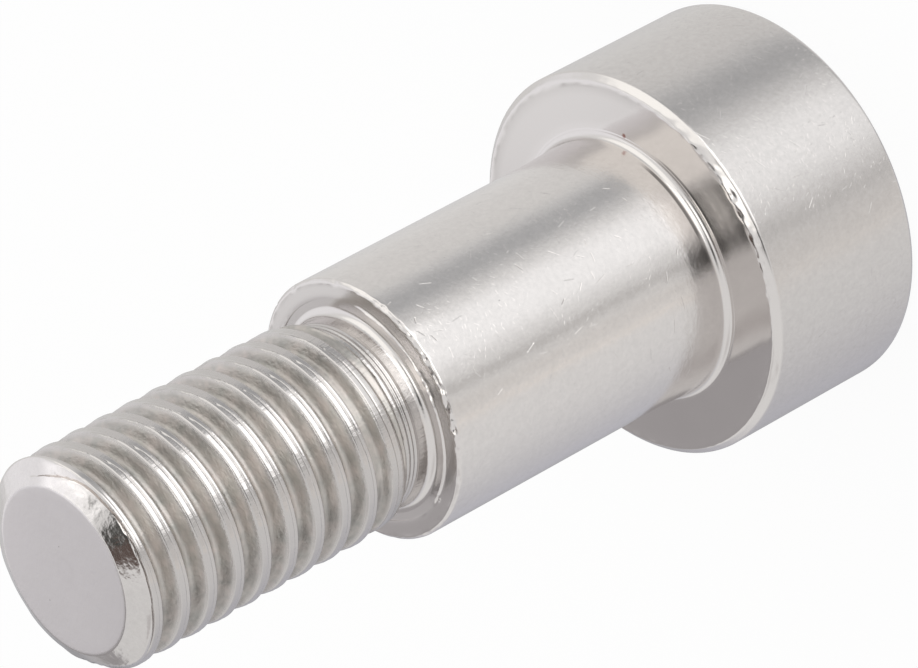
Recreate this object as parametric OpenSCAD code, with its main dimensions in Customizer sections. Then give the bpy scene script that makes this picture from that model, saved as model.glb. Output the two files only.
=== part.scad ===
// Shoulder bolt with a plain round head, a ground shoulder and a right-hand thread.
// Millimetres. The bolt stands on its head: the axis is Z, the head's end face is
// at Z = 0 and the thread's tip is on top.

/* [Head] */
// Diameter of the cylindrical head
head_d = 18; // [16:0.1:24]
// Height of the head, from its end face to its bearing face
head_h = 8.7; // [8:0.1:14]
// Width of the 45 degree chamfer round the bearing face
bearing_chamfer = 0.3; // [0.1:0.05:1]
// Radius of the rounded edge round the head's end face
head_end_round = 0.35; // [0.1:0.05:1]

/* [Socket] */
// Width across the flats of the hexagon socket
socket_af = 6; // [4:0.1:8]
// Depth of the socket's flats
socket_depth = 5; // [3:0.1:5.5]
// How far the countersink at the mouth reaches past the socket's corners
socket_chamfer = 0.24; // [0.1:0.02:0.6]
// Angle of the drill point at the bottom of the socket, in degrees
socket_point_angle = 120; // [100:1:150]

/* [Shoulder] */
// Diameter of the shoulder
shoulder_d = 12; // [11.2:0.05:15]
// Length of the shoulder, from the bearing face to its own end face
shoulder_l = 16; // [8:0.5:60]
// Radius of the fillet between the head and the shoulder
head_fillet_r = 0.45; // [0.2:0.05:1]
// Width of the broken edge at the shoulder's end
shoulder_edge = 0.12; // [0.05:0.01:0.4]

/* [Neck] */
// Diameter of the plain neck between the thread and the shoulder
neck_d = 8.6; // [7.8:0.1:9.1]
// Length of the neck
neck_l = 1.4; // [1.2:0.1:3]
// Radius of the fillet between the neck and the shoulder's end face
neck_fillet_r = 0.65; // [0.2:0.05:0.8]
// Width of the flat ring that the facing cut leaves round the neck's fillet
facing_w = 0.15; // [0.05:0.05:0.4]
// Depth of the facing cut below the shoulder's end face
facing_depth = 0.06; // [0.02:0.01:0.2]

/* [Thread] */
// Diameter over the thread's crests
thread_d = 9.75; // [9:0.05:10]
// Pitch of the single-start right-hand thread
thread_pitch = 1.5; // [1:0.25:2]
// Distance from the shoulder's end face to the tip
thread_l = 16.7; // [10:0.1:40]
// Width of the flat on each crest
crest_flat = 0.25; // [0.1:0.01:0.4]
// Radius at the bottom of each groove
root_r = 0.27; // [0.15:0.01:0.35]
// Diameter of the plain blank that the thread fades into before the neck
blank_d = 9.2; // [8.8:0.05:9.5]
// Length over which the thread fades into the blank
run_out_l = 1.5; // [1:0.1:3]
// Length of the taper from the blank down to the neck
blank_taper_l = 0.45; // [0.3:0.05:1]
// How far the foot of the taper lies below the neck's surface
foot_step = 0.1; // [0.05:0.01:0.2]
// Turn about the axis at which the crest leaves the tip's plane, in degrees
start_angle = 78; // [0:1:359]
// Diameter of the flat face at the tip
tip_face_d = 7.6; // [6:0.1:8.5]
// Length of the chamfer at the tip
tip_chamfer_l = 0.65; // [0.4:0.05:2]

/* [Hidden] */
$fn = 120;

// Steel shows as a warm light grey
steel = [0.74, 0.73, 0.72];

head_r = head_d / 2;
shoulder_r = shoulder_d / 2;
neck_r = neck_d / 2;
facing_r = neck_r + neck_fillet_r + facing_w;
thread_r = thread_d / 2;
blank_r = blank_d / 2;
tip_r = tip_face_d / 2;
shoulder_z = head_h + shoulder_l;

// Overlap that joins one turned length to the next
lap = 0.2;

// Hexagon socket
socket_corner_r = socket_af / 2 / cos(30);
socket_mouth_r = socket_corner_r + socket_chamfer;
socket_mouth_depth = (socket_mouth_r - socket_af / 2) * tan(30);
socket_point_depth = socket_af / 2 / tan(socket_point_angle / 2);

// Thread profile: straight flanks at half the 60 degree angle, tangent to the root's arc
flank_half = 30;
half_groove = thread_pitch / 2 - crest_flat / 2;
groove_apex_r = thread_r - half_groove / tan(flank_half);
root_bottom_r = groove_apex_r + root_r / sin(flank_half) - root_r;

// The profile's points over one pitch as [drop below the first crest edge, radius]
root_steps = 4;
root_sweep = 90 - flank_half;
root_arc = [for (k = [0:root_steps])
    let (turn = root_sweep * (2 * k / root_steps - 1))
    [crest_flat + half_groove + root_r * sin(turn), root_bottom_r + root_r * (1 - cos(turn))]];
profile = concat([[0, thread_r], [crest_flat, thread_r]], root_arc);
profile_n = len(profile);

// Columns of points round the axis, and the thread's own ends above the shoulder
columns = 60;
// Turn of the first column in column steps: it keeps points off the chamfer's edge
first_turn = 0.37;
past_tip = 0.6;
thread_bottom = neck_l - lap;
thread_top = thread_l + past_tip;
// The taper's foot ends inside the neck
core_r = neck_r - foot_step;
// No point of a helical line lies nearer to an end than this
end_gap = 0.012;

function column_angle(i) = 360 * (i + first_turn) / columns;

// Height of helical line g in column i: the lines count downwards from above the tip
function line_z(i, g) =
    thread_l + 2 * thread_pitch + crest_flat / 2
    + thread_pitch * (column_angle(i) - start_angle) / 360
    - floor(g / profile_n) * thread_pitch - profile[g % profile_n][0];

// Share of the way from one height to another, kept between 0 and 1
function share(z, from, length) = max(0, min(1, (z - from) / length));

// Radius of the plain blank at a height
function blank_at(z) = core_r + (blank_r - core_r) * share(z, neck_l, blank_taper_l);

// How full the thread's profile is at a height: 0 on the taper, 1 past the run-out
function fullness(z) = share(z, neck_l + blank_taper_l, run_out_l);

function line_r(z, g) = blank_at(z) + (profile[g % profile_n][1] - blank_r) * fullness(z);

line_count = profile_n * (ceil((thread_top - thread_bottom) / thread_pitch) + 4);

// First and last line of each column that lie between the thread's ends
first_line = [for (i = [0:columns - 1])
    min([for (g = [0:line_count]) if (line_z(i, g) < thread_top - end_gap) g])];
last_line = [for (i = [0:columns - 1])
    max([for (g = [0:line_count]) if (line_z(i, g) > thread_bottom + end_gap) g])];

// Number of the first point of each column
column_start = [for (i = 0, n = 0; i < columns; n = n + last_line[i] - first_line[i] + 3, i = i + 1) n];

// A line keeps its number all the way round, so it comes back one pitch higher
function wrapped(i) = i % columns;
function shift(i) = i >= columns ? profile_n : 0;
function first_at(i) = first_line[wrapped(i)] + shift(i);
function last_at(i) = last_line[wrapped(i)] + shift(i);
function point_no(i, g) = column_start[wrapped(i)] + 1 + g - first_at(i);
function top_no(i) = column_start[wrapped(i)];
function bottom_no(i) = point_no(i, last_at(i)) + 1;

function at(i, r, z) = [r * cos(column_angle(i)), r * sin(column_angle(i)), z];

function column_points(i) = concat(
    [at(i, root_bottom_r, thread_top)],
    [for (g = [first_line[i]:last_line[i]]) at(i, line_r(line_z(i, g), g), line_z(i, g))],
    [at(i, core_r, thread_bottom)]);

// Faces between one column and the next
function strip(i) = concat(
    [[top_no(i), top_no(i + 1), point_no(i, first_at(i))]],
    [for (g = [first_at(i):1:first_at(i + 1) - 1])
        [point_no(i, g), top_no(i + 1), point_no(i, g + 1)]],
    [[point_no(i, first_at(i + 1)), top_no(i + 1), point_no(i + 1, first_at(i + 1))]],
    [for (g = [first_at(i + 1):last_at(i) - 1])
        each [[point_no(i, g), point_no(i + 1, g), point_no(i, g + 1)],
              [point_no(i, g + 1), point_no(i + 1, g), point_no(i + 1, g + 1)]]],
    [[point_no(i, last_at(i)), point_no(i + 1, last_at(i)), bottom_no(i)]],
    [for (g = [last_at(i):1:last_at(i + 1) - 1])
        [bottom_no(i), point_no(i + 1, g), point_no(i + 1, g + 1)]],
    [[bottom_no(i), point_no(i + 1, last_at(i + 1)), bottom_no(i + 1)]]);

// Ring of metal that fills the corner between a shaft and the face that it rises from
module fillet_ring(shaft_r, fillet_r) {
    rotate_extrude()
        difference() {
            translate([shaft_r - lap, -lap]) square([fillet_r + lap, fillet_r + lap]);
            translate([shaft_r + fillet_r, fillet_r]) circle(r = fillet_r);
        }
}

// Solid of revolution of the head, with its rounded end and its chamfered bearing edge
module head_blank() {
    rotate_extrude() {
        polygon([
            [0, 0],
            [head_r - head_end_round, 0],
            [head_r - head_end_round, head_end_round],
            [head_r, head_end_round],
            [head_r, head_h - bearing_chamfer],
            [head_r - bearing_chamfer, head_h],
            [0, head_h]]);
        intersection() {
            translate([head_r - head_end_round, head_end_round]) circle(r = head_end_round);
            translate([head_r - head_end_round - lap, 0]) square(head_end_round + lap);
        }
    }
}

// Hexagon hole with a countersunk mouth and a drill point
module socket() {
    translate([0, 0, -lap]) cylinder(r = socket_corner_r, h = socket_depth + lap, $fn = 6);
    translate([0, 0, socket_depth])
        cylinder(r1 = socket_af / 2, r2 = 0, h = socket_point_depth);
    cylinder(r1 = socket_mouth_r, r2 = socket_af / 2, h = socket_mouth_depth);
}

// Shoulder with its broken edge and the shallow facing cut in its end
module shoulder() {
    rotate_extrude()
        polygon([
            [0, head_h - lap],
            [shoulder_r, head_h - lap],
            [shoulder_r, shoulder_z - shoulder_edge],
            [shoulder_r - shoulder_edge, shoulder_z],
            [facing_r, shoulder_z],
            [facing_r, shoulder_z - facing_depth],
            [0, shoulder_z - facing_depth]]);
    translate([0, 0, head_h]) fillet_ring(shoulder_r, head_fillet_r);
}

// Plain neck between the shoulder and the thread
module neck() {
    translate([0, 0, -lap]) cylinder(r = neck_r, h = neck_l + lap);
    translate([0, 0, -facing_depth]) fillet_ring(neck_r, neck_fillet_r);
}

// The helical thread on its core, one closed skin that runs past the tip
module thread_skin() {
    polyhedron(
        points = [for (i = [0:columns - 1]) each column_points(i)],
        faces = concat(
            [for (i = [0:columns - 1]) each strip(i)],
            [[for (i = [columns - 1:-1:0]) top_no(i)]],
            [[for (i = [0:columns - 1]) bottom_no(i)]]),
        convexity = 12);
}

// Space that the tip's chamfer and face leave of the thread
module tip_form() {
    chamfer_run = (thread_r - tip_r) / tip_chamfer_l;
    clear = 0.5;
    rotate_extrude()
        polygon([
            [0, -lap],
            [thread_r + clear, -lap],
            [thread_r + clear, thread_l - tip_chamfer_l - clear / chamfer_run],
            [tip_r, thread_l],
            [0, thread_l]]);
}

module thread() {
    intersection() {
        thread_skin();
        tip_form();
    }
}

// The whole bolt, turned and rolled as one piece of stainless steel
module shoulder_bolt() {
    color(steel)
        union() {
            difference() {
                head_blank();
                socket();
            }
            shoulder();
            translate([0, 0, shoulder_z]) {
                neck();
                thread();
            }
        }
}

shoulder_bolt();
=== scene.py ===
# Looks of the shoulder bolt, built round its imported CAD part. The bolt stands on its head.
# Shapes are worked out in millimetres along the part's own Z axis and become metres at the end.
import math
import random

import bmesh
import bpy
import numpy as np
from mathutils import Matrix, Vector


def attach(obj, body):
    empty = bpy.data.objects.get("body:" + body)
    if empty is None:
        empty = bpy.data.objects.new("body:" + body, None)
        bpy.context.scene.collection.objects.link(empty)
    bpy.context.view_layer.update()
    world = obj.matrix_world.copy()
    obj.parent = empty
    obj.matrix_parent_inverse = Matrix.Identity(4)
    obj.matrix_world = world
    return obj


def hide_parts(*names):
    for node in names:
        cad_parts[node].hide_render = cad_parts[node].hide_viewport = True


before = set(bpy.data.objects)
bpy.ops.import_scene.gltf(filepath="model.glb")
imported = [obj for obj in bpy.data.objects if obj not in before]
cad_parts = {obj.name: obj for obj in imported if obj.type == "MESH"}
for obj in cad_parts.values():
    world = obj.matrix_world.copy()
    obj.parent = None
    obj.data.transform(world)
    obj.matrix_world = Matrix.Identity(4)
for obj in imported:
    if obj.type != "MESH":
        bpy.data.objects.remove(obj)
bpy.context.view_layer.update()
METRES = 0.001


# Node trees are written as sums: a Field is an output socket that takes part in arithmetic.
class Field:
    def __init__(self, tree, socket):
        self.tree = tree
        self.socket = socket

    def math(self, operation, *others, flip=False):
        node = self.tree.nodes.new("ShaderNodeMath")
        node.operation = operation
        terms = (*others, self) if flip else (self, *others)
        for slot, term in zip(node.inputs, terms):
            plug(self.tree, slot, term)
        return Field(self.tree, node.outputs[0])

    def __add__(self, other):
        return self.math("ADD", other)

    def __radd__(self, other):
        return self.math("ADD", other)

    def __sub__(self, other):
        return self.math("SUBTRACT", other)

    def __rsub__(self, other):
        return self.math("SUBTRACT", other, flip=True)

    def __mul__(self, other):
        return self.math("MULTIPLY", other)

    def __rmul__(self, other):
        return self.math("MULTIPLY", other)

    def __truediv__(self, other):
        return self.math("DIVIDE", other)

    def __rtruediv__(self, other):
        return self.math("DIVIDE", other, flip=True)

    def __pow__(self, other):
        return self.math("POWER", other)

    def __neg__(self):
        return self.math("MULTIPLY", -1)

    def __gt__(self, other):
        return self.math("GREATER_THAN", other)

    def __lt__(self, other):
        return self.math("LESS_THAN", other)


def plug(tree, slot, value):
    if isinstance(value, Field):
        tree.links.new(value.socket, slot)
    elif isinstance(value, bpy.types.NodeSocket):
        tree.links.new(value, slot)
    else:
        slot.default_value = value


def put(tree, kind, sockets=None, **settings):
    """Adds a node, sets it up and plugs values or other outputs into its inputs by name or number."""
    node = tree.nodes.new(kind)
    for name, value in settings.items():
        setattr(node, name, value)
    for name, value in (sockets or {}).items():
        plug(tree, node.inputs[name], value)
    return node


def out(tree, kind, sockets=None, output=0, **settings):
    return Field(tree, put(tree, kind, sockets, **settings).outputs[output])


def empty_tree(owner):
    """Switches on the node tree of a material or a world and clears it."""
    owner.use_nodes = True
    owner.node_tree.nodes.clear()
    return owner.node_tree


def add_object(name, data):
    thing = bpy.data.objects.new(name, data)
    bpy.context.scene.collection.objects.link(thing)
    return thing


def low(a, b):
    return a.math("MINIMUM", b)


def high(a, b):
    return a.math("MAXIMUM", b)


def soft_low(a, b, rounding):
    return a.math("SMOOTH_MIN", b, rounding)


def between(value, start, end, ease="LINEAR"):
    """0 where value is at start and 1 where it is at end, held outside them."""
    return out(value.tree, "ShaderNodeMapRange",
               {"Value": value, "From Min": start, "From Max": end}, interpolation_type=ease)


def soft_step(value, start, end):
    return between(value, start, end, "SMOOTHSTEP")


def window(value, start, full, until, end):
    """0 before start and past end and 1 from full to until, with soft steps between."""
    return soft_step(value, start, full) * soft_step(value, end, until)


def bell(value):
    """1 where value is 0, and down to 0 on both sides of it."""
    return (-(value * value)).math("EXPONENT")


def blend(share, a, b):
    return a + (b - a) * share


def vector(x, y, z):
    return out(x.tree, "ShaderNodeCombineXYZ", {0: x, 1: y, 2: z})


def polar(radius, angle, z):
    return vector(radius * angle.math("COSINE"), radius * angle.math("SINE"), z)


def split(tree, value):
    node = put(tree, "ShaderNodeSeparateXYZ", {0: value})
    return [Field(tree, s) for s in node.outputs]


def noise(where, scale, detail=2.0, rough=0.5, warp=0.0):
    """Smooth noise about 0, mostly from -0.5 to 0.5."""
    return out(where.tree, "ShaderNodeTexNoise",
               {"Vector": where, "Scale": scale, "Detail": detail, "Roughness": rough,
                "Distortion": warp}) - 0.5


# Sizes in millimetres. The large forms have the CAD part's sizes. The crests, the tip's edge and the
# fillets follow the photo more closely than that part does.
HEAD_R = 9.0
HEAD_H = 8.7
HEAD_CHAMFER = 0.3
HEAD_ROUND = 0.35
SOCKET_FLAT_R = 3.0
SOCKET_DEPTH = 5.0
SOCKET_MOUTH_R = SOCKET_FLAT_R / math.cos(math.radians(30)) + 0.24
SOCKET_MOUTH_SLOPE = math.tan(math.radians(30))
SOCKET_POINT = SOCKET_FLAT_R / math.tan(math.radians(60))
SHOULDER_R = 6.0
SHOULDER_TOP = HEAD_H + 16.0
SHOULDER_EDGE = 0.12
# The fillet at the shoulder's lower end: how far it reaches over the bearing face, and its arc's radius
HEAD_FILLET = 0.45
HEAD_FILLET_ARC = 0.37
NECK_R = 4.3
# The neck gets thicker by this much before its fillet
NECK_SWELL = 0.04
NECK_FILLET = 0.4
# The facing cut ends at this radius, and the burr that it pushed up stands round it
FACING_R = 5.1
FACING_DEPTH = 0.06
BURR_H = 0.06
# The turned faces fall away a little towards their edges
SHOULDER_DISH = 0.028
BEARING_DISH = 0.06
# Grinding left the shoulder a little thicker near the head, as (height over the head, extra radius)
SHOULDER_FLARE = ((2.5, 0.0), (2.3, 0.001), (2.0, 0.01), (1.5, 0.036), (1.0, 0.062), (0.5, 0.088))
# The tool left rings on the neck, as (drop below the thread's foot, extra radius)
NECK_RINGS = ((0.07, 0.02), (0.15, 0.03), (0.23, 0.01), (0.26, -0.035), (0.3, -0.04), (0.34, -0.005),
              (0.38, 0.015), (0.42, 0.012), (0.46, -0.025), (0.5, -0.03), (0.55, 0.005), (0.6, 0.02),
              (0.66, 0.015), (0.72, -0.005), (0.76, -0.005))
TIP = SHOULDER_TOP + 16.7
TIP_FACE_R = 3.72
# Width and height of the small round between the tip's face and its chamfer
TIP_BEVEL = 0.12
TIP_BEVEL_H = 0.02
# Radius that the tip's chamfer gains per millimetre away from the tip
TIP_SLOPE = 2.15
# The thread's grid ends on the chamfer, this far below the tip, where the tip's grid takes over
TIP_RING_DROP = 0.05
CREST_R = 4.875
PITCH = 1.5
CREST_W = 0.42
ROOT_R = 0.27
BLANK_R = 4.6
# Half of the angle between a groove's flanks, and the radius at which they would meet
FLANK = math.radians(30)
GROOVE_APEX_R = CREST_R - (PITCH - CREST_W) / 2 / math.tan(FLANK)
ROOT_BOTTOM_R = GROOVE_APEX_R + ROOT_R
# Drops from a crest's centre to the next groove's middle that get a line of points. They lie close
# together where the lips and the seam are.
LINE_DROPS = (0, 0.03, 0.06, 0.09, 0.12, 0.15, 0.185, 0.22, 0.255, 0.29, 0.35, 0.43, 0.51, 0.57, 0.63,
              0.69, PITCH / 2)
# The thread's foot, where the turned form takes over from the thread's grid
NECK_RING = SHOULDER_TOP + 1.4
# Heights over the shoulder between which the neck widens to the blank, and the length of the run-out
TAPER_START = 1.44
TAPER_END = 1.7
RUN_OUT_L = 1.35
# A crest's centre lies at this height on the +X side, and every pitch above and below it
CREST_HEIGHT = 38.075
THREAD_COLUMNS = 168
# Points closer than this are one point, and corners sharper than this stay sharp
WELD = 0.0002
SHARP_CORNER = math.radians(50)


def arc(centre_r, centre_z, radius, start, end, steps):
    """Points of an arc in the plane of radius and height, with angles in degrees from outwards."""
    angles = np.radians(np.linspace(start, end, steps + 1))
    return [(centre_r + radius * math.cos(a), centre_z + radius * math.sin(a), 0) for a in angles]


def run(start, end, steps):
    """Points of a straight line, without its ends."""
    return [tuple(s + (e - s) * k / steps for s, e in zip(start, end)) for k in range(1, steps)]


def pitch_profile():
    """One pitch of the thread from crest to crest as (drop along the axis, radius of the groove, 0)."""
    centre_r = GROOVE_APEX_R + ROOT_R / math.sin(FLANK)
    tangent = ROOT_R * math.cos(FLANK)
    points = []
    for drop in LINE_DROPS + tuple(PITCH - d for d in LINE_DROPS[-2:0:-1]):
        x = abs(PITCH / 2 - drop)
        groove_r = (centre_r - math.sqrt(ROOT_R ** 2 - x ** 2) if x < tangent
                    else GROOVE_APEX_R + x / math.tan(FLANK))
        points.append((drop, groove_r, 0))
    return points


def chamfer_radius(from_tip):
    """Radius of the tip's chamfer at a distance from the tip's plane."""
    return TIP_FACE_R + TIP_BEVEL + TIP_SLOPE * (from_tip - TIP_BEVEL_H)


def tip_profile():
    """The tip's rows as (radius, height, 0), from the ring on its chamfer to the middle of its face."""
    rows = [(chamfer_radius(drop), TIP - drop, 0) for drop in (TIP_RING_DROP, 0.035, TIP_BEVEL_H)]
    rows += [(TIP_FACE_R + dr, TIP - drop, 0) for dr, drop in (
        (TIP_BEVEL - 0.02, 0.016), (0.02, 0.006), (0, 0.002), (-0.03, 0))]
    rows += [(r, TIP, 0) for r in (3.4, 2.9, 2.3, 1.7, 1.1, 0.55, 0)]
    return rows


def turned_profile():
    """The turned form below the thread as (radius, height, kind), from the neck to the socket.
    Kind is 1 where the hexagon rules, 0 where the form is plain and below 0 where an edge is ragged."""
    rows = [(NECK_R, NECK_RING, 0)]
    rows += [(NECK_R + dr, NECK_RING - drop, 0) for drop, dr in NECK_RINGS]
    # The fillet, and the flat ring that the facing cut left round it
    facing_z = SHOULDER_TOP - FACING_DEPTH
    fillet_r = NECK_R + NECK_FILLET + NECK_SWELL
    rows += arc(fillet_r, facing_z + NECK_FILLET, NECK_FILLET, 188, 270, 10)
    rows += [(r, facing_z, 0) for r in (fillet_r + 0.02, fillet_r + 0.16, FACING_R - 0.02)]
    burr_z = SHOULDER_TOP + BURR_H
    rows += [(FACING_R - 0.005, burr_z - 0.03, -0.3), (FACING_R + 0.01, burr_z, -0.5),
             (FACING_R + 0.035, burr_z - 0.01, -0.5), (FACING_R + 0.065, SHOULDER_TOP + 0.01, -0.4),
             (FACING_R + 0.085, SHOULDER_TOP - 0.01, -0.3)]
    # The shoulder's end face, its broken edge, its wall and the fillet under it
    edge, face_z = SHOULDER_EDGE, SHOULDER_TOP - SHOULDER_DISH
    edge_r, edge_z = SHOULDER_R - edge, face_z - edge
    rows += run((FACING_R + 0.08, SHOULDER_TOP - 0.01, 0), (edge_r - 0.16, face_z, 0), 5)
    rows += [(edge_r - 0.16, face_z, 0), (edge_r - 0.09, face_z, -0.3), (edge_r - 0.04, face_z, -0.7),
             (edge_r, face_z - 0.008, -0.9), (edge_r + 0.04, face_z - 0.045, -0.6),
             (edge_r + 0.08, face_z - 0.085, -0.3), (SHOULDER_R - 0.008, edge_z, -0.2),
             (SHOULDER_R, edge_z - 0.04, 0), (SHOULDER_R, edge_z - 0.1, 0),
             (SHOULDER_R, edge_z - 0.2, 0)]
    rows += run((SHOULDER_R, edge_z - 0.2, 0), (SHOULDER_R, HEAD_H + SHOULDER_FLARE[0][0], 0), 6)
    rows += [(SHOULDER_R + dr, HEAD_H + h, 0) for h, dr in SHOULDER_FLARE]
    fillet_r = SHOULDER_R + HEAD_FILLET
    rows += arc(fillet_r, HEAD_H + HEAD_FILLET_ARC, HEAD_FILLET_ARC, 185, 262, 8)
    rows += [(fillet_r, HEAD_H + 0.01, 0), (fillet_r + 0.03, HEAD_H - 0.004, 0),
             (fillet_r + 0.06, HEAD_H - 0.006, 0)]
    # The head's bearing face, its chamfered edge, its wall and its rounded end
    edge, face_z = HEAD_CHAMFER, HEAD_H - BEARING_DISH
    edge_r, edge_z = HEAD_R - edge, face_z - edge
    rows += run((fillet_r + 0.06, HEAD_H - 0.006, 0), (edge_r - 0.35, face_z, 0), 5)
    rows += [(edge_r - 0.35, face_z, 0), (edge_r - 0.22, face_z, 0), (edge_r - 0.12, face_z, -0.3),
             (edge_r - 0.06, face_z, -0.8), (edge_r, face_z - 0.012, -1),
             (edge_r + 0.06, face_z - 0.07, -0.5), (edge_r + 0.12, face_z - 0.13, -0.25),
             (edge_r + 0.18, face_z - 0.19, -0.2), (edge_r + 0.24, face_z - 0.245, -0.2),
             (HEAD_R - 0.01, edge_z, -0.15), (HEAD_R, edge_z - 0.06, 0), (HEAD_R, edge_z - 0.14, 0),
             (HEAD_R, edge_z - 0.26, 0)]
    rows += run((HEAD_R, edge_z - 0.26, 0), (HEAD_R, HEAD_ROUND, 0), 6)
    rows += arc(HEAD_R - HEAD_ROUND, HEAD_ROUND, HEAD_ROUND, 0, -90, 7)
    rows += run((HEAD_R - HEAD_ROUND, 0, 0), (SOCKET_MOUTH_R, 0, 0), 4)
    # The socket, from its mouth to its drill point
    rows += [(SOCKET_MOUTH_R, 0, 0), (SOCKET_MOUTH_R, 0, 1)]
    rows += [(SOCKET_FLAT_R, SOCKET_DEPTH * k / 5, 1) for k in range(1, 6)]
    rows += [(SOCKET_FLAT_R, SOCKET_DEPTH, 0), (SOCKET_FLAT_R / 2, SOCKET_DEPTH + SOCKET_POINT / 2, 0),
             (0, SOCKET_DEPTH + SOCKET_POINT, 0)]
    return rows


def sample(tree, profiles, index):
    """The three numbers of the profile point that has this index."""
    whole = put(tree, "FunctionNodeFloatToInt", {0: index}, rounding_mode="ROUND").outputs[0]
    return split(tree, out(tree, "GeometryNodeSampleIndex",
                           {"Geometry": profiles, "Value": out(tree, "GeometryNodeInputPosition"),
                            "Index": whole}, data_type="FLOAT_VECTOR", domain="POINT"))


def grid(tree, columns, rows):
    """A flat grid, and the numbers of each point's column and row. The last column closes the ring."""
    mesh = put(tree, "GeometryNodeMeshGrid",
               {"Size X": 1.0, "Size Y": 1.0, "Vertices X": columns + 1, "Vertices Y": rows})
    x, y, _ = split(tree, out(tree, "GeometryNodeInputPosition"))
    column = ((x + 0.5) * columns).math("ROUND")
    row = ((0.5 - y) * (rows - 1)).math("ROUND")
    return mesh.outputs["Mesh"], column, row


def placed(mesh, radius, angle, z):
    return put(angle.tree, "GeometryNodeSetPosition",
               {"Geometry": mesh, "Position": polar(radius, angle, z)}).outputs[0]


def tip_wobble(angle):
    """The tip was cut by hand feed, so its edge wanders a little, and it is torn on one side."""
    torn = window(angle, *map(math.radians, (282, 292, 340, 352)))
    return (0.05 * noise(polar(CREST_R, angle, 0.0), 0.45)
            + (0.03 + 0.1 * torn) * noise(polar(CREST_R, angle, 9.0), 2.6, 3.0))


def thread_shape(tree, size):
    """The thread. Its grid's rows are helical lines, counted downwards from above the tip."""
    mesh, column, row = grid(tree, size["Thread Columns"], size["Thread Lines"])
    # The share of a full turn from the +X side, on which the places of all features depend
    turn = column / size["Thread Columns"]
    angle = turn * (2 * math.pi)
    whole_turns = ((row + 0.5) / size["Points Per Pitch"]).math("FLOOR")
    drop, groove_r, _ = sample(tree, size["Profiles"], row - whole_turns * size["Points Per Pitch"])
    z = size["First Crest Height"] - drop + size["Pitch"] * (turn - whole_turns)
    about = polar(CREST_R, angle, z)
    above = z - SHOULDER_TOP
    from_tip = size["Tip Height"] - z
    taper = soft_step(above, TAPER_START, TAPER_END)
    blank_r = blend(taper, size["Neck Radius"], size["Blank Radius"])
    fullness = between(above, TAPER_END - 0.12, TAPER_END + RUN_OUT_L) ** 0.6

    # The groove is pressed into the blank, and the metal that it pushes up makes two lips
    lift = (1 - fullness) * (BLANK_R - ROOT_BOTTOM_R)
    lip_h = (size["Crest Radius"] - size["Blank Radius"]) * fullness
    lip_h = lip_h * (1 + 0.18 * noise(about, 0.8))
    # They part on the crest, but on one side the seam wanders off it and the second lip covers it all
    from_centre = drop - size["Pitch"] * (drop > PITCH / 2)
    parting = 0.03 - 0.3 * high(soft_step(turn, 0.82, 0.93), soft_step(turn, 0.25, 0.05))
    second = from_centre > parting + 0.015
    # Each lip leans a little towards the tip
    to_top = low(high(blend(second, parting - 0.02, CREST_W / 2) - from_centre, -0.05), 0.3)
    lean = size["Lip Slope"] * to_top * taper
    # The seam is thin and uneven, worn shut on one side and gone at the tip
    seam = soft_step((from_centre - parting).math("ABSOLUTE"), 0.055, 0.0) * size["Seam Depth"]
    seam = seam * high(1 + size["Waviness"] * noise(about, 0.9, 3.0), 0.1)
    open_seam = high(soft_step(turn, 0.66, 0.74), soft_step(turn, 0.3, 0.1))
    seam = seam * between(from_tip, 0.7, 1.0) * (0.3 + 0.7 * open_seam)
    top_r = blank_r + lip_h - lean - seam * fullness
    radius = soft_low(groove_r + lift, top_r, 0.05)
    # The last groove ends on a shallow cone of the blank that the dies left
    cone_r = blank_r - 0.2 * high(above - TAPER_END + 0.08, 0.0)
    radius = radius.math("SMOOTH_MAX", cone_r, 0.02)
    radius = radius + (0.02 * noise(about, 1.3) + 0.016 * noise(about, 3.4, 1.0)) * fullness

    # Between the tip and the first crest the groove is closed, and only a thin seam is left of it
    over_first = z - (CREST_HEIGHT + size["Pitch"] * (turn + 1))
    seam_at = 0.26 - 0.14 * soft_step(turn, 0.6, 0.8) + 0.05 * soft_step(turn, 0.84, 0.95)
    closed = soft_step(over_first, seam_at - 0.05, seam_at) * soft_step(turn, 0.4, 0.56)
    radius = blend(closed, radius, high(radius, CREST_R - 0.02))
    gaping = soft_step(turn, 0.84, 0.9)
    start_seam = bell((over_first - seam_at) / (0.035 + 0.025 * gaping))
    start_seam = start_seam * window(turn, 0.52, 0.6, 0.93, 0.99)

    # The chamfer cuts all this, with a hammered bulge on one side
    bulge = window(turn, 0.79, 0.83, 0.88, 0.94)
    hammered = noise(about, 2.0, 3.0) * (0.03 + 0.12 * bulge) + 0.07 * bulge
    wobble = tip_wobble(angle)
    chamfer_r = chamfer_radius(from_tip) + wobble + hammered * window(from_tip, 0.05, 0.16, 0.3, 0.5)
    crest_edge_r = CREST_R - 0.01 + 0.03 * noise(about, 0.9)
    # Past the chamfer's foot its limit is lifted off the thread
    chamfer_r = soft_low(chamfer_r, crest_edge_r, 0.2) + (from_tip > 0.72)
    radius = soft_low(radius, chamfer_r, 0.02)
    radius = radius - (0.22 + 0.2 * gaping) * start_seam * soft_step(from_tip, 0.1, 0.3)

    # The grid's ends close on a plain ring at the tip and another at the neck
    radius = blend(z > size["Tip Ring Height"], radius, chamfer_radius(TIP_RING_DROP) + wobble)
    radius = blend(z < size["Ring Height"], radius, size["Neck Radius"])
    z = high(low(z, size["Tip Ring Height"]), size["Ring Height"])
    return placed(mesh, radius, angle, z)


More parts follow.
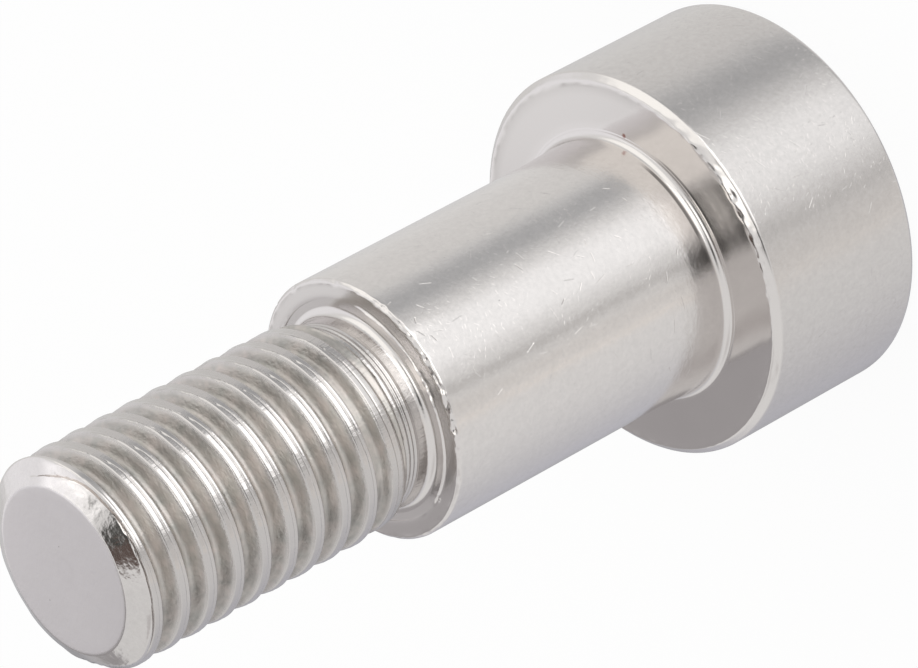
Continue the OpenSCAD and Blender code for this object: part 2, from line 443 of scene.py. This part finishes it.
def tip_shape(tree, size):
    """The tip, as straight rows from the ring on its chamfer to the middle of its face."""
    mesh, column, row = grid(tree, size["Thread Columns"], size["Tip Rows"])
    angle = column / size["Thread Columns"] * (2 * math.pi)
    tip_r, tip_z, _ = sample(tree, size["Profiles"], row + size["Points Per Pitch"])
    tip_r = tip_r + tip_wobble(angle) * between(tip_r, 1.0, TIP_FACE_R - 0.1)
    return put(tree, "GeometryNodeFlipFaces", {"Mesh": placed(mesh, tip_r, angle, tip_z)}).outputs[0]


def hexagon_radius(angle):
    """Distance from the axis to a hexagon's side, with corners on the X axis."""
    third = math.pi / 3
    fold = (angle + third * 6).math("MODULO", third) - third / 2
    return SOCKET_FLAT_R / fold.math("COSINE")


def turned_shape(tree, size):
    """The turned form. It has two columns for each of the thread's, which meet again at the neck."""
    columns = size["Thread Columns"] * 2
    mesh, column, row = grid(tree, columns, size["Turned Rows"])
    column = blend(row < 0.5, column, (column / 2 + 0.01).math("FLOOR") * 2)
    angle = column / columns * (2 * math.pi)
    row = row + size["Points Per Pitch"] + size["Tip Rows"]
    radius, z, kind = sample(tree, size["Profiles"], row)
    # Edges are ragged by patches, and more so on the side that the photo shows
    ring = polar(radius, angle, z)
    front = high(-(angle.math("SINE")), 0.0) ** 6
    patches = high(0.35 + 0.8 * front + noise(ring, 0.3, 1.0), 0.1)
    ragged = high(-kind, 0.0) * size["Raggedness"] * patches
    radius = radius + ragged * (noise(ring, 4.0, 3.0, 0.7) - 0.08)
    z = z + ragged * (noise(ring, 3.3, 3.0, 0.7, 0.3) - 0.08)
    # The burr stands up only part of the way round the shoulder's end face
    burr = window(angle, *map(math.radians, (196, 206, 302, 322)))
    z = blend(radius > FACING_R - 0.01, z, low(z, SHOULDER_TOP - 0.012 + 0.15 * burr))
    hexagon = high(kind, 0.0)
    hex_r = hexagon_radius(angle)
    mouth_z = (SOCKET_MOUTH_R - hex_r) * SOCKET_MOUTH_SLOPE * hexagon
    return placed(mesh, blend(hexagon, radius, hex_r), angle, high(z, mouth_z))


def bolt_tree(material, inputs):
    """Geometry tree of the bolt: a helix rule makes the thread and a turning rule makes the rest.
    Its input mesh holds the profiles one after the other: one pitch, the tip's rows, the turned rows."""
    tree = bpy.data.node_groups.new("turned_and_rolled_bolt", "GeometryNodeTree")
    tree.interface.new_socket("Profiles", in_out="INPUT", socket_type="NodeSocketGeometry")
    tree.interface.new_socket("Bolt", in_out="OUTPUT", socket_type="NodeSocketGeometry")
    for name, value in inputs.items():
        kind = "NodeSocketInt" if isinstance(value, int) else "NodeSocketFloat"
        tree.interface.new_socket(name, in_out="INPUT", socket_type=kind)
    given = put(tree, "NodeGroupInput")
    size = {s.name: Field(tree, s) for s in given.outputs if s.name}

    both = put(tree, "GeometryNodeJoinGeometry")
    for part in (turned_shape(tree, size), thread_shape(tree, size), tip_shape(tree, size)):
        tree.links.new(part, both.inputs[0])
    shape = put(tree, "GeometryNodeMergeByDistance", {"Geometry": both.outputs[0], "Distance": WELD})
    shape = put(tree, "GeometryNodeTransform",
                {"Geometry": shape.outputs[0], "Scale": (METRES, METRES, METRES)})
    shape = put(tree, "GeometryNodeSetShadeSmooth",
                {"Geometry": shape.outputs[0], "Shade Smooth": True}, domain="FACE")
    sharp = out(tree, "GeometryNodeInputMeshEdgeAngle") > SHARP_CORNER
    shape = put(tree, "GeometryNodeSetShadeSmooth",
                {"Geometry": shape.outputs[0], "Selection": sharp, "Shade Smooth": False}, domain="EDGE")
    shape = put(tree, "GeometryNodeRealizeInstances", {"Geometry": shape.outputs[0]})
    shape = put(tree, "GeometryNodeSetMaterial", {"Geometry": shape.outputs[0], "Material": material})
    put(tree, "NodeGroupOutput", {0: shape.outputs[0]})
    return tree


# Knocks seen in the photo, as (degrees of turn from the camera's side, radius, height, size, how much
# longer it is round the bolt, depth, and the direction that faces out as two shares: outwards and up)
SEEN_KNOCKS = (
    (-3.6, 8.74, 8.55, 0.14, 2.0, 0.09, 0.6, 1), (-12.5, 8.66, 8.61, 0.12, 2.0, 0.05, 0.3, 1),
    (-17, 8.64, 8.61, 0.1, 1.5, 0.05, 0.2, 1), (9, 8.68, 8.6, 0.12, 2.2, 0.05, 0.3, 1),
    (17, 8.72, 8.56, 0.14, 1.8, 0.07, 0.5, 1), (22, 8.8, 8.5, 0.12, 1.5, 0.05, 0.8, 1),
    (-34, 5.96, 24.55, 0.12, 1.5, 0.06, 1, 0.4), (-1, 5.14, 24.74, 0.16, 1.5, 0.08, 0.3, 1),
    (4, 5.15, 24.74, 0.18, 1.6, 0.1, 0.3, 1), (9, 5.14, 24.74, 0.15, 1.3, 0.08, 0.3, 1),
    (67, 5.14, 24.74, 0.14, 1.0, 0.1, 0.3, 1), (25, 5.88, 24.62, 0.15, 1.5, 0.07, 0.4, 1),
    (6, 5.88, 24.62, 0.13, 1.8, 0.06, 0.4, 1), (14, 5.88, 24.62, 0.12, 1.6, 0.06, 0.4, 1),
)
# Chance knocks on the edges of head and shoulder and on the crests, as (count, radii, heights, deepest)
CHANCE_KNOCKS = (
    (60, (8.58, 8.9), (8.46, 8.64), 0.022),
    (90, (5.84, 5.98), (24.5, 24.66), 0.05),
    (70, (CREST_R - 0.02, CREST_R), (28, 40.4), 0.05),
)


def press_dents(mesh):
    """Presses the knocks that the edges have taken into the finished mesh."""
    knocks = list(SEEN_KNOCKS)
    dice = random.Random(11)
    for count, radii, heights, deepest in CHANCE_KNOCKS:
        for _ in range(count):
            knocks.append((dice.gauss(0, 35) if dice.random() < 0.5 else dice.uniform(-180, 180),
                           dice.uniform(*radii), dice.uniform(*heights), dice.uniform(0.08, 0.17),
                           dice.uniform(0.8, 2.2), dice.uniform(0.01, deepest), dice.uniform(0.3, 1), 1))
    flat = np.empty(len(mesh.vertices) * 3)
    mesh.vertices.foreach_get("co", flat)
    points = flat.reshape(-1, 3) / METRES
    for turn, r, z, size, longer, depth, out_r, out_z in knocks:
        a = math.radians(-90 - turn)
        ahead = np.array((-math.sin(a), math.cos(a), 0))
        outwards = np.array((out_r * math.cos(a), out_r * math.sin(a), out_z)) / math.hypot(out_r, out_z)
        offset = points - (r * math.cos(a), r * math.sin(a), z)
        along = offset @ ahead
        away = np.sqrt(np.maximum((offset ** 2).sum(1) - along ** 2, 0) + (along / longer) ** 2) / size
        hit = away < 1
        points[hit] -= outwards * (depth * (1 - away[hit]) ** 0.8)[:, None]
    mesh.vertices.foreach_set("co", (points * METRES).ravel())
    mesh.update()


def build_bolt(material):
    pitch_points, tip_rows, rows = pitch_profile(), tip_profile(), turned_profile()
    profiles = bpy.data.meshes.new("profiles")
    profiles.from_pydata(pitch_points + tip_rows + rows, [], [])
    # The first line starts above the tip, and the last one ends below the neck's ring
    first_crest = CREST_HEIGHT + 3 * PITCH
    pitches = math.ceil((first_crest - NECK_RING) / PITCH) + 1
    inputs = {"Thread Columns": THREAD_COLUMNS, "Thread Lines": len(pitch_points) * pitches + 1,
              "Points Per Pitch": len(pitch_points), "Tip Rows": len(tip_rows), "Turned Rows": len(rows),
              "Pitch": PITCH, "First Crest Height": first_crest, "Crest Radius": CREST_R,
              "Blank Radius": BLANK_R, "Neck Radius": NECK_R, "Ring Height": NECK_RING,
              "Tip Height": TIP, "Tip Ring Height": TIP - TIP_RING_DROP,
              "Lip Slope": 0.17, "Seam Depth": 0.06, "Waviness": 1.0, "Raggedness": 0.2}
    maker = add_object("bolt_maker", profiles)
    modifier = maker.modifiers.new("Bolt", "NODES")
    modifier.node_group = bolt_tree(material, inputs)
    for socket in modifier.node_group.interface.items_tree:
        if socket.in_out == "INPUT" and socket.name in inputs:
            modifier[socket.identifier] = inputs[socket.name]
    ready = maker.evaluated_get(bpy.context.evaluated_depsgraph_get())
    mesh = bpy.data.meshes.new_from_object(ready)
    mesh.name = "stainless_bolt"
    bpy.data.objects.remove(maker)
    press_dents(mesh)
    return add_object("stainless_bolt", mesh)


def stroke(length, side, reach, width):
    """A short straight line, from how far a place lies along it and beside it; 1 in its middle."""
    line = soft_step(side.math("ABSOLUTE"), width, width * 0.2)
    return line * soft_step(length.math("ABSOLUTE"), reach, reach * 0.5)


def scratches(across, along, cells, lean, spread, width, share, shift):
    """Short straight scratches, one in some of the cells of the unrolled surface; 1 in their middle."""
    tree = across.tree
    across = across + shift
    cell = put(tree, "ShaderNodeTexVoronoi", {"Vector": vector(across, along, 0.0), "Scale": cells},
               voronoi_dimensions="2D")
    middle_x, middle_y, _ = split(tree, cell.outputs["Position"])
    pick = put(tree, "ShaderNodeSeparateColor", {0: cell.outputs["Color"]})
    a, b, c = (Field(tree, o) for o in pick.outputs)
    lean = (a - 0.5) * spread + lean
    x, y = across - middle_x, along - middle_y
    length = x * lean.math("COSINE") + y * lean.math("SINE")
    side = y * lean.math("COSINE") - x * lean.math("SINE")
    reach = (0.3 + 0.7 * b) * (0.55 / cells)
    return stroke(length, side, reach, width) * (c < share)


def mark(turn, z, degrees, height, reach, lean, width):
    """One scratch on the shoulder, at a turn from the camera's side and a height."""
    x, y = (turn - math.radians(degrees)) * SHOULDER_R, z - height
    length = x * math.cos(lean) + y * math.sin(lean)
    side = y * math.cos(lean) - x * math.sin(lean)
    return stroke(length, side, reach, width)


def spots(where, cells, size, share):
    """Small round spots in some of the cells; 1 in their middle."""
    tree = where.tree
    cell = put(tree, "ShaderNodeTexVoronoi", {"Vector": where, "Scale": cells})
    pick = put(tree, "ShaderNodeSeparateColor", {0: cell.outputs["Color"]})
    a, b = Field(tree, pick.outputs[0]), Field(tree, pick.outputs[1])
    wide = (0.4 + 0.6 * b) * size * cells
    return soft_step(Field(tree, cell.outputs["Distance"]) / wide, 1.0, 0.5) * (a < share)


# Base colour of the clean ground steel
STEEL_RED, STEEL_GREEN, STEEL_BLUE = 0.665, 0.638, 0.622
# Scratches seen on the shoulder, as (degrees of turn from the camera's side, height, reach, lean, width)
SEEN_SCRATCHES = (
    (9.8, 19.61, 0.34, 1.15, 0.04), (0, 17.05, 0.2, 1.0, 0.035), (58.2, 17.47, 0.2, 0.7, 0.035),
    (-21.3, 17.93, 0.24, -0.3, 0.035), (-34.2, 24.25, 0.14, 1.2, 0.035), (-22, 23.9, 0.18, 0.6, 0.035),
    (-16.2, 24.1, 0.25, -0.5, 0.035), (-12, 23.7, 0.2, -0.3, 0.035),
)


def stainless_steel():
    """Bare stainless steel: ground shoulder, duller head, rolled matt grooves with burnished lips."""
    material = bpy.data.materials.new("stainless_steel")
    tree = empty_tree(material)
    x, y, z = (f / METRES for f in split(tree, put(tree, "ShaderNodeTexCoord").outputs["Object"]))
    mm = vector(x, y, z)
    r = (x * x + y * y) ** 0.5
    # Turn from the camera's side, in radians
    turn = -(x.math("ARCTAN2", -y))
    above = z - SHOULDER_TOP
    from_tip = TIP - z

    # Zones of the surface, 1 inside and 0 outside
    thread = soft_step(above, 1.3, 1.6)
    groove = thread * soft_step(r, CREST_R - 0.015, BLANK_R - 0.05) * soft_step(from_tip, 0.5, 0.8)
    root = groove * soft_step(r, BLANK_R - 0.1, BLANK_R - 0.3)
    rolled = soft_step(above, 0.5, 0.9) * soft_step(from_tip, 0.45, 0.75)
    combing = soft_step(above, 0.0, 0.3) * soft_step(from_tip, 0.7, 0.9)
    tip_face = (from_tip < 0.02) * soft_step(r, 3.86, 3.7)
    hammered = soft_step(from_tip, 0.5, 0.38) * (1 - tip_face) * window(turn, -1.25, -1.0, -0.36, -0.24)
    tip_cone = soft_step(from_tip, 0.6, 0.45) * (1 - tip_face) * (1 - hammered)
    head = soft_step(r, HEAD_R - 0.4, HEAD_R - 0.25) * soft_step(z, HEAD_H - 0.3, HEAD_H - 0.45)
    bearing = window(r, SHOULDER_R + 0.4, SHOULDER_R + 0.5, HEAD_R - 0.4, HEAD_R - 0.3)
    bearing = bearing * (z > HEAD_H - 0.15)
    shoulder = soft_step(r, SHOULDER_R - 0.1, SHOULDER_R - 0.03) * (r < SHOULDER_R + 0.1)
    shoulder = shoulder * soft_step(z, HEAD_H + 0.4, HEAD_H + 0.6)

    # Noises that colour and relief share
    clouds = noise(mm, 0.35)
    blotches = noise(mm, 1.3, 2.0, 0.6)
    mottled = noise(mm, 2.6)
    grit = noise(mm, 6.0, 1.0, 0.6)
    hammer_marks = noise(mm, 1.6, 2.5, 0.55)
    streaks = noise(vector(x * 0.35, y * 0.35, z * 2.2), 2.2, 3.0, 0.6)

    # Brightness: duller where it is rolled, slight clouds and mottling, streaks round the grooves, and
    # painted light and shade on the grooves, the tip's chamfer and the tip's face
    value = 1.0 + 0.04 * clouds - 0.09 * head - 0.12 * groove - 0.05 * root - 0.17 * rolled
    off_ring = ((x * x + (y + 0.15) * (y + 0.15)) ** 0.5 - 0.5) / 0.16
    centre_mark = tip_face * bell(off_ring) * high(0.4 + 2 * blotches, 0.0)
    # Painted light: the tip's face a little lighter towards +X and +Y. The centre mark is a darker ring
    # on it.
    value = value + tip_face * (0.01 + 0.007 * x + 0.006 * y) - 0.04 * centre_mark
    value = value + hammered * (0.3 + 0.3 * hammer_marks)
    # Painted shade: the tip's chamfer grows darker from about 11 to 34 degrees round from the camera's
    # side and stays so beyond, over its mottling and grit
    value = value + tip_cone * (0.08 * mottled + 0.1 * grit - 0.1 * soft_step(turn, 0.2, 0.6))
    value = value + (head + shoulder) * (0.09 * mottled + 0.11 * grit)
    value = value + groove * (0.45 * streaks + 0.4 * blotches)
    # Painted light and shade on the grooves: lighter from the camera's side round to about 40 degrees,
    # darker past about 55 degrees
    value = value + groove * (0.1 * soft_step(turn, -0.25, 0.05) - 0.19 * soft_step(turn, 0.65, 0.95))

    # Specks on the thread, pits everywhere, a darker line high in the head's fillet on the camera's
    # side, and a brown stain by it
    dirt = spots(mm, 1.1, 0.07, 0.16) * thread
    pits = spots(mm, 0.8, 0.055, 0.22)
    dark_fillet_line = soft_step((z - HEAD_H - 0.42).math("ABSOLUTE"), 0.12, 0.05)
    dark_fillet_line = dark_fillet_line * (r > SHOULDER_R) * (r < SHOULDER_R + 0.3) * window(turn, -0.68, -0.5, 0.0, 0.12)
    value = value * (1 - 0.55 * high(dirt, pits * 0.6)) * (1 - 0.7 * dark_fillet_line)
    stain = vector(x - 5.05, y + 4.2, (z - HEAD_H) * 1.5)
    stain = out(tree, "ShaderNodeVectorMath", {0: stain}, 1, operation="LENGTH")
    stain = soft_step(stain, 0.15, 0.04)
    warmth = 1 + 0.015 * groove + 0.15 * groove * blotches
    red = value * STEEL_RED * (1 - 0.5 * stain) * warmth
    green = value * STEEL_GREEN * (1 - 0.72 * stain)
    blue = value * (STEEL_BLUE - 0.022 * groove + 0.02 * tip_face) * (1 - 0.75 * stain)
    colour = out(tree, "ShaderNodeCombineColor", {0: red, 1: green, 2: blue})

    roughness = (0.19 + 0.055 * head - 0.08 * bearing + 0.19 * groove + 0.08 * root + 0.32 * tip_face
                 + 0.06 * hammered - 0.08 * tip_cone + 0.05 * clouds + 0.2 * groove * blotches)

    # Relief in millimetres: short scratches on the walls, a few longer ones, fine turning marks, pits
    wall = turn * r
    walls = high(head, shoulder * soft_step(z, HEAD_H + 1.0, HEAD_H + 3.5))
    fine = scratches(wall, z, 3.3, 0.25, 2.4, 0.022, 0.6, 0.0) * walls
    fine = fine * high(0.45 + 3 * clouds + mottled, 0.0)
    bold = scratches(wall, z, 1.35, 0.3, 3.1, 0.026, 0.22, 57.0) * walls
    seen = mark(turn, z, *SEEN_SCRATCHES[0])
    for scratch in SEEN_SCRATCHES[1:]:
        seen = high(seen, mark(turn, z, *scratch))
    seen = seen * shoulder
    grind = noise(vector(x * 0.25, y * 0.25, z * 1.6), 2.5, 2.0, 0.6)
    wavy = noise(mm, 0.7, 0.0)
    combed = noise(vector(x * 3.2, y * 3.2, z * 0.3), 2.0)
    height = ((grind * 0.003 + wavy * 0.008 + mottled * 0.006 + grit * 0.0015) * (head + shoulder)
              + groove * (streaks * 0.02 + grit * 0.012) + tip_face * (grit * 0.005 + blotches * 0.012))
    height = height + combed * combing * (0.009 + 0.009 * soft_step(above, 4.3, 2.3))
    height = height + 0.055 * hammered * hammer_marks + tip_cone * (0.012 * mottled + 0.003 * grit)
    height = height - fine * (0.0032 + 0.0028 * head) - 0.006 * bold - 0.02 * seen - 0.02 * pits
    bump = put(tree, "ShaderNodeBump", {"Height": height, "Distance": METRES, "Strength": 1.0})

    shader = put(tree, "ShaderNodeBsdfPrincipled",
                 {"Base Color": colour, "Metallic": 1.0, "Roughness": roughness,
                  "Normal": bump.outputs[0]})
    put(tree, "ShaderNodeOutputMaterial", {"Surface": shader.outputs[0]})
    return material


# Studio cards seen from the bolt: azimuth from the camera's side towards -X and elevation, in degrees
CARDS = (
    # azimuth, half width, soft edge, lowest, highest, soft edge, level, tint
    (165, 52, 110, -90, 5, 20, 0.57, (1.0, 1.0, 1.1)),       # right wall, darker to the rear
    (-130, 46, 8, -90, 5, 20, 0.9, (1.0, 0.995, 0.985)),     # left wall
    (-172, 16, 40, -90, 5, 20, 0.72, (1.0, 0.995, 1.0)),     # its rear end
    (170, 10, 24, -90, 5, 20, 0.44, (1.0, 1.0, 1.05)),       # rear corner
    (-66, 14, 24, -90, 0, 20, 0.57, (0.98, 1.0, 1.02)),      # side flag
    (-18, 19, 20, -90, -10, 20, 1.28, (1.0, 1.01, 1.02)),    # lower end of the front light
    (36, 5, 14, -90, 5, 20, 0.84, (1.03, 1.0, 0.97)),        # table beside it
    (111, 12, 16, 30, 50, 8, 0.76, (1.0, 0.98, 0.98)),       # shelf on the right
    (20, 3, 11, -90, 5, 20, 0.55, (1.0, 0.985, 0.96)),       # its stand
    (47, 1.5, 3, -90, 5, 20, 1.03, (1.08, 1.0, 0.92)),       # a warm strip of wood
    (-150, 26, 16, 8, 54, 14, 1.08, (1.0, 1.0, 1.03)),       # rear wall, left
    (-73, 34, 10, 8, 51, 8, 1.42, (1.0, 0.995, 0.97)),       # key light
    (-128, 7, 8, 48, 68, 8, 1.45, (1.0, 1.0, 1.0)),          # small lamp over the left shoulder
    (-18, 19, 20, 3, 36, 4, 1.7, (1.0, 0.995, 0.98)),        # upper part of the front light
    (-8, 24, 16, 36, 49, 4, 0.2, (1.0, 1.0, 0.97)),          # camera side
    (-16, 27, 9, -25, 1, 10, 2.5, (1.0, 1.0, 1.0)),          # front light
    (22, 11, 16, 24, 50, 8, 0.05, (1.0, 0.95, 0.93)),        # camera stand
    (-8, 22, 12, 51, 71, 8, 2.2, (1.0, 0.99, 0.96)),         # strip light
    (0, 180, 2, 78, 90, 6, 0.08, (0.98, 1.0, 0.94)),         # open ceiling
    (110, 60, 40, 75, 90, 4, 0.1, (1.3, 0.95, 0.84)),        # ceiling, right
    (166, 15, 6, 8, 56, 14, 0.45, (1.0, 0.97, 0.99)),        # rear flag
)
# Level of the light where there is no card
OPEN_STUDIO = 0.95


def studio_world():
    """A studio of soft cards, each painted over the ones before it. The camera itself sees white."""
    world = bpy.data.worlds.new("studio")
    bpy.context.scene.world = world
    tree = empty_tree(world)
    x, y, z = split(tree, put(tree, "ShaderNodeTexCoord").outputs["Generated"])
    azimuth = (-x).math("ARCTAN2", -y)
    elevation = low(high(z, -1.0), 1.0).math("ARCSINE")
    level = (OPEN_STUDIO, OPEN_STUDIO, OPEN_STUDIO, 1)
    for centre, half, soft, lowest, highest, fade, brightness, tint in CARDS:
        edges = []
        if half < 180:
            away = (azimuth - math.radians(centre)).math("WRAP", math.pi, -math.pi).math("ABSOLUTE")
            edges.append(soft_step(away, math.radians(half + soft / 2), math.radians(half - soft / 2)))
        for edge, way in ((lowest, 0.5), (highest, -0.5)):
            if -90 < edge < 90:
                ends = (math.radians(edge - way * fade), math.radians(edge + way * fade))
                edges.append(soft_step(elevation, *ends))
        share = edges[0]
        for edge in edges[1:]:
            share = share * edge
        card = tuple(brightness * t for t in tint) + (1,)
        # Of this node, inputs 6 and 7 are the two colours and output 2 is the mixed one
        level = put(tree, "ShaderNodeMix", {0: share, 6: level, 7: card},
                    data_type="RGBA", clamp_factor=True).outputs[2]
    cards = put(tree, "ShaderNodeBackground", {"Color": level, "Strength": 1.0})
    white = put(tree, "ShaderNodeBackground", {"Color": (1, 1, 1, 1), "Strength": 1.0})
    seen = put(tree, "ShaderNodeLightPath").outputs["Is Camera Ray"]
    mixed = put(tree, "ShaderNodeMixShader", {0: seen, 1: cards.outputs[0], 2: white.outputs[0]})
    put(tree, "ShaderNodeOutputWorld", {"Surface": mixed.outputs[0]})


def pale_floor():
    """A round floor: nearly white with a faint shadow to the camera, and clear to mirrored rays."""
    shape = bmesh.new()
    bmesh.ops.create_circle(shape, cap_ends=True, segments=96, radius=1.5)
    mesh = bpy.data.meshes.new("floor")
    shape.to_mesh(mesh)
    shape.free()
    floor = add_object("floor", mesh)
    material = bpy.data.materials.new("pale_floor")
    tree = empty_tree(material)
    paint = put(tree, "ShaderNodeBsdfDiffuse", {"Color": (0.9, 0.9, 0.9, 1)})
    glow = put(tree, "ShaderNodeEmission", {"Color": (1, 1, 1, 1), "Strength": 1.0})
    clear = put(tree, "ShaderNodeBsdfTransparent")
    path = put(tree, "ShaderNodeLightPath")
    mostly_glow = put(tree, "ShaderNodeMixShader", {0: 0.92, 1: paint.outputs[0], 2: glow.outputs[0]})
    plain = put(tree, "ShaderNodeMixShader",
                {0: path.outputs["Is Camera Ray"], 1: paint.outputs[0], 2: mostly_glow.outputs[0]})
    mirrored = high(Field(tree, path.outputs["Is Glossy Ray"]),
                    Field(tree, path.outputs["Is Transmission Ray"]))
    final = put(tree, "ShaderNodeMixShader", {0: mirrored, 1: plain.outputs[0], 2: clear.outputs[0]})
    put(tree, "ShaderNodeOutputMaterial", {"Surface": final.outputs[0]})
    mesh.materials.append(material)


def photo_camera():
    """The photo's view: from 35 degrees above, rolled so that the tip points down to the left."""
    place = Vector((0.8824, -246.7705, 192.9401)) * METRES
    forward = Vector((0.0, 0.816314, -0.577609))
    right = Vector((-0.472390, -0.509098, -0.719491))
    up = right.cross(forward)
    data = bpy.data.cameras.new("camera")
    data.sensor_width = 36.0
    data.lens = 277.241
    data.clip_start, data.clip_end = 0.01, 10.0
    camera = add_object("camera", data)
    turn = Matrix((right, up, -forward)).transposed().to_4x4()
    camera.matrix_world = Matrix.Translation(place) @ turn
    bpy.context.scene.camera = camera


bpy.context.scene.view_settings.view_transform = "Standard"
bolt = build_bolt(stainless_steel())
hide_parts("shoulder_bolt")
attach(bolt, "root")
studio_world()
pale_floor()
photo_camera()

bpy.context.view_layer.update()
